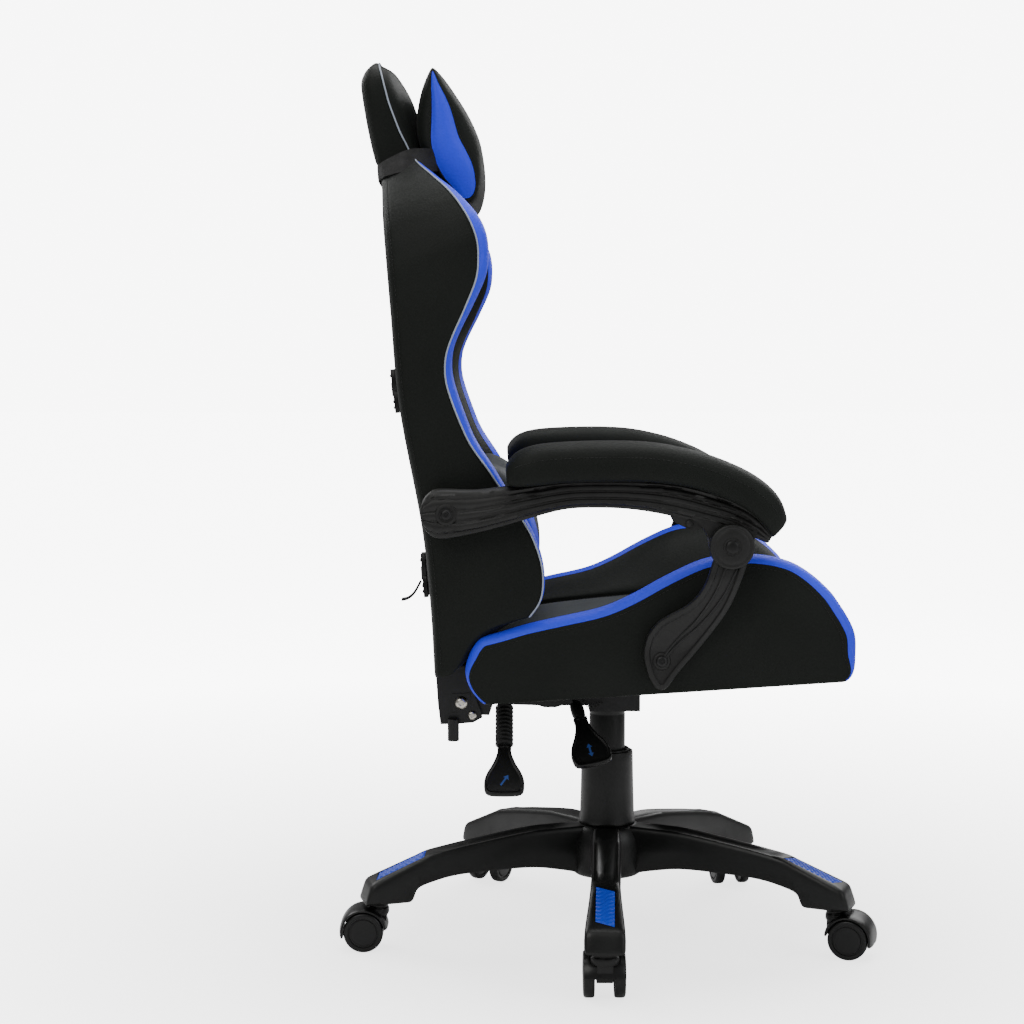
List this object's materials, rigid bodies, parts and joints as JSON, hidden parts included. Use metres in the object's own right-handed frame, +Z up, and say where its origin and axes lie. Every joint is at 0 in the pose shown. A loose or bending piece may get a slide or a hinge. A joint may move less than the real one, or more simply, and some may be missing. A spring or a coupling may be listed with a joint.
{
  "type": "gaming chair",
  "caption": "Reclining gaming chair with bucket seat, winged back, head and lumbar pillows, linked padded arms, gas lift and a star base on hooded casters.",
  "frame": {"origin": "centre of the chair's overall box, at floor level", "axes": "+X the way the seat faces, +Y the sitter's left, +Z up"},
  "size_m": [0.672, 0.6376, 1.1045],
  "materials": {
    "black_leather": "satin faux leather, fine grain",
    "black_plastic": "satin moulded",
    "black_steel": "satin powder coat",
    "black_tyre": "matte",
    "black_webbing": "woven webbing",
    "blue_plastic": "satin moulded",
    "bright_steel": "nickel plated",
    "grey_leather": "satin faux leather, fine grain",
    "plywood": "raw plywood",
    "blue_leather": "satin faux leather"
  },
  "bodies": {
    "base": {"star_base": "black_plastic", "leg_insert_1": "blue_plastic", "leg_insert_2": "blue_plastic", "leg_insert_3": "blue_plastic", "leg_insert_4": "blue_plastic", "leg_insert_5": "blue_plastic", "gas_cylinder": "black_steel", "cover_lower": "black_plastic"},
    "caster_1": {"caster_1_hood": "black_plastic"},
    "caster_1_wheelset": {"caster_1_wheels": "black_tyre"},
    "caster_2": {"caster_2_hood": "black_plastic"},
    "caster_2_wheelset": {"caster_2_wheels": "black_tyre"},
    "caster_3": {"caster_3_hood": "black_plastic"},
    "caster_3_wheelset": {"caster_3_wheels": "black_tyre"},
    "caster_4": {"caster_4_hood": "black_plastic"},
    "caster_4_wheelset": {"caster_4_wheels": "black_tyre"},
    "caster_5": {"caster_5_hood": "black_plastic"},
    "caster_5_wheelset": {"caster_5_wheels": "black_tyre"},
    "cover_mid": {"cover_middle": "black_plastic"},
    "lift": {"piston_rod": "bright_steel", "cover_upper": "black_plastic"},
    "seat": {"mechanism": "black_steel", "seat_board": "plywood", "seat_cushion": "grey_leather", "seat_bolster_right": "black_leather", "seat_bolster_left": "black_leather", "hinge_bracket_right": "black_steel", "hinge_bracket_left": "black_steel", "recline_bolt_right": "bright_steel", "recline_bolt_left": "bright_steel"},
    "lift_lever": {"lift_lever_rod": "black_plastic", "lift_lever_paddle": "black_plastic"},
    "recline_lever": {"recline_lever_rod": "black_steel", "recline_lever_boot": "black_plastic", "recline_lever_paddle": "black_plastic"},
    "backrest": {"backrest_frame": "black_steel", "backrest_pad": "grey_leather", "rear_panel": "black_leather", "head_section": "black_leather", "head_pillow": "black_leather", "head_strap": "black_webbing", "lumbar_pillow": "grey_leather", "lumbar_strap": "black_webbing", "lumbar_buckle": "black_plastic", "backrest_wing_right": "black_leather", "backrest_wing_left": "black_leather", "recline_plate_right": "black_steel", "recline_plate_left": "black_steel"},
    "arm_right": {"arm_frame_right": "black_plastic", "arm_pad_right": "black_leather", "arm_hub_cap_right": "black_plastic", "arm_rear_bolt_right": "black_steel"},
    "link_right": {"arm_link_right": "black_plastic", "link_bolt_right": "black_steel"},
    "arm_left": {"arm_frame_left": "black_plastic", "arm_pad_left": "black_leather", "arm_hub_cap_left": "black_plastic", "arm_rear_bolt_left": "black_steel"},
    "link_left": {"arm_link_left": "black_plastic", "link_bolt_left": "black_steel"}
  },
  "joints": [
    {"name": "caster_1_swivel", "type": "hinge", "parent": "base", "child": "caster_1", "pos_m": [-0.01346, -0.29579, 0], "axis": [0, 0, 1], "continuous": true},
    {"name": "caster_1_spin", "type": "hinge", "parent": "caster_1", "child": "caster_1_wheelset", "pos_m": [-0.01346, -0.27679, 0.025], "axis": [-1, 0, 0], "continuous": true},
    {"name": "caster_2_swivel", "type": "hinge", "parent": "base", "child": "caster_2", "pos_m": [0.28231, -0.10371, 0], "axis": [0, 0, 1], "continuous": true},
    {"name": "caster_2_spin", "type": "hinge", "parent": "caster_2", "child": "caster_2_wheelset", "pos_m": [0.30017, -0.11021, 0.025], "axis": [0.342, 0.9397, 0], "continuous": true},
    {"name": "caster_3_swivel", "type": "hinge", "parent": "base", "child": "caster_3", "pos_m": [0.19104, 0.23695, 0], "axis": [0, 0, 1], "continuous": true},
    {"name": "caster_3_spin", "type": "hinge", "parent": "caster_3", "child": "caster_3_wheelset", "pos_m": [0.18774, 0.25566, 0.025], "axis": [-0.9848, -0.1736, 0], "continuous": true},
    {"name": "caster_4_swivel", "type": "hinge", "parent": "base", "child": "caster_4", "pos_m": [-0.16115, 0.2554, 0], "axis": [0, 0, 1], "continuous": true},
    {"name": "caster_4_spin", "type": "hinge", "parent": "caster_4", "child": "caster_4_wheelset", "pos_m": [-0.15165, 0.27186, 0.025], "axis": [-0.866, 0.5, 0], "continuous": true},
    {"name": "caster_5_swivel", "type": "hinge", "parent": "base", "child": "caster_5", "pos_m": [-0.28754, -0.07384, 0], "axis": [0, 0, 1], "continuous": true},
    {"name": "caster_5_spin", "type": "hinge", "parent": "caster_5", "child": "caster_5_wheelset", "pos_m": [-0.30654, -0.07384, 0.025], "axis": [0, -1, 0], "continuous": true},
    {"name": "seat_height", "type": "slide", "parent": "base", "child": "lift", "axis": [0, 0, 1], "range_m": [0, 0.08]},
    {"name": "cover_stage", "type": "slide", "parent": "base", "child": "cover_mid", "axis": [0, 0, 1], "range_m": [0, 0.04]},
    {"name": "seat_swivel", "type": "hinge", "parent": "lift", "child": "seat", "pos_m": [0.00224, 0.0038, 0.33], "axis": [0, 0, 1], "continuous": true},
    {"name": "recline", "type": "hinge", "parent": "seat", "child": "backrest", "pos_m": [-0.18076, 0.0038, 0.332], "axis": [0, -1, 0], "range_deg": [0, 21.5]},
    {"name": "lift_lever_pull", "type": "hinge", "parent": "seat", "child": "lift_lever", "pos_m": [-0.04276, -0.0702, 0.32], "axis": [-1, 0, 0], "range_deg": [0, 6], "stiffness_Nm_per_rad": 2, "springref_deg": -5.73},
    {"name": "recline_lever_pull", "type": "hinge", "parent": "seat", "child": "recline_lever", "pos_m": [-0.12976, -0.0702, 0.32], "axis": [-1, 0, 0], "range_deg": [0, 6], "stiffness_Nm_per_rad": 2, "springref_deg": -5.73},
    {"name": "arm_right_turn", "type": "hinge", "parent": "backrest", "child": "arm_right", "pos_m": [-0.19576, 0.0038, 0.5625], "axis": [0, -1, 0], "range_deg": [-14.34, 0]},
    {"name": "link_right_swing", "type": "hinge", "parent": "seat", "child": "link_right", "pos_m": [0.05224, 0.0038, 0.392], "axis": [0, -1, 0], "range_deg": [0, 32.44]},
    {"name": "arm_left_turn", "type": "hinge", "parent": "backrest", "child": "arm_left", "pos_m": [-0.19576, 0.0038, 0.5625], "axis": [0, -1, 0], "range_deg": [-14.34, 0]},
    {"name": "link_left_swing", "type": "hinge", "parent": "seat", "child": "link_left", "pos_m": [0.05224, 0.0038, 0.392], "axis": [0, -1, 0], "range_deg": [0, 32.44]}
  ],
  "couplings": [
    {"joint": "cover_stage", "follows": "seat_height", "ratio": 0.5},
    {"joint": "arm_right_turn", "follows": "recline", "ratio": -0.645},
    {"joint": "link_right_swing", "follows": "recline", "ratio": 1.47},
    {"joint": "arm_left_turn", "follows": "recline", "ratio": -0.645},
    {"joint": "link_left_swing", "follows": "recline", "ratio": 1.47}
  ]
}
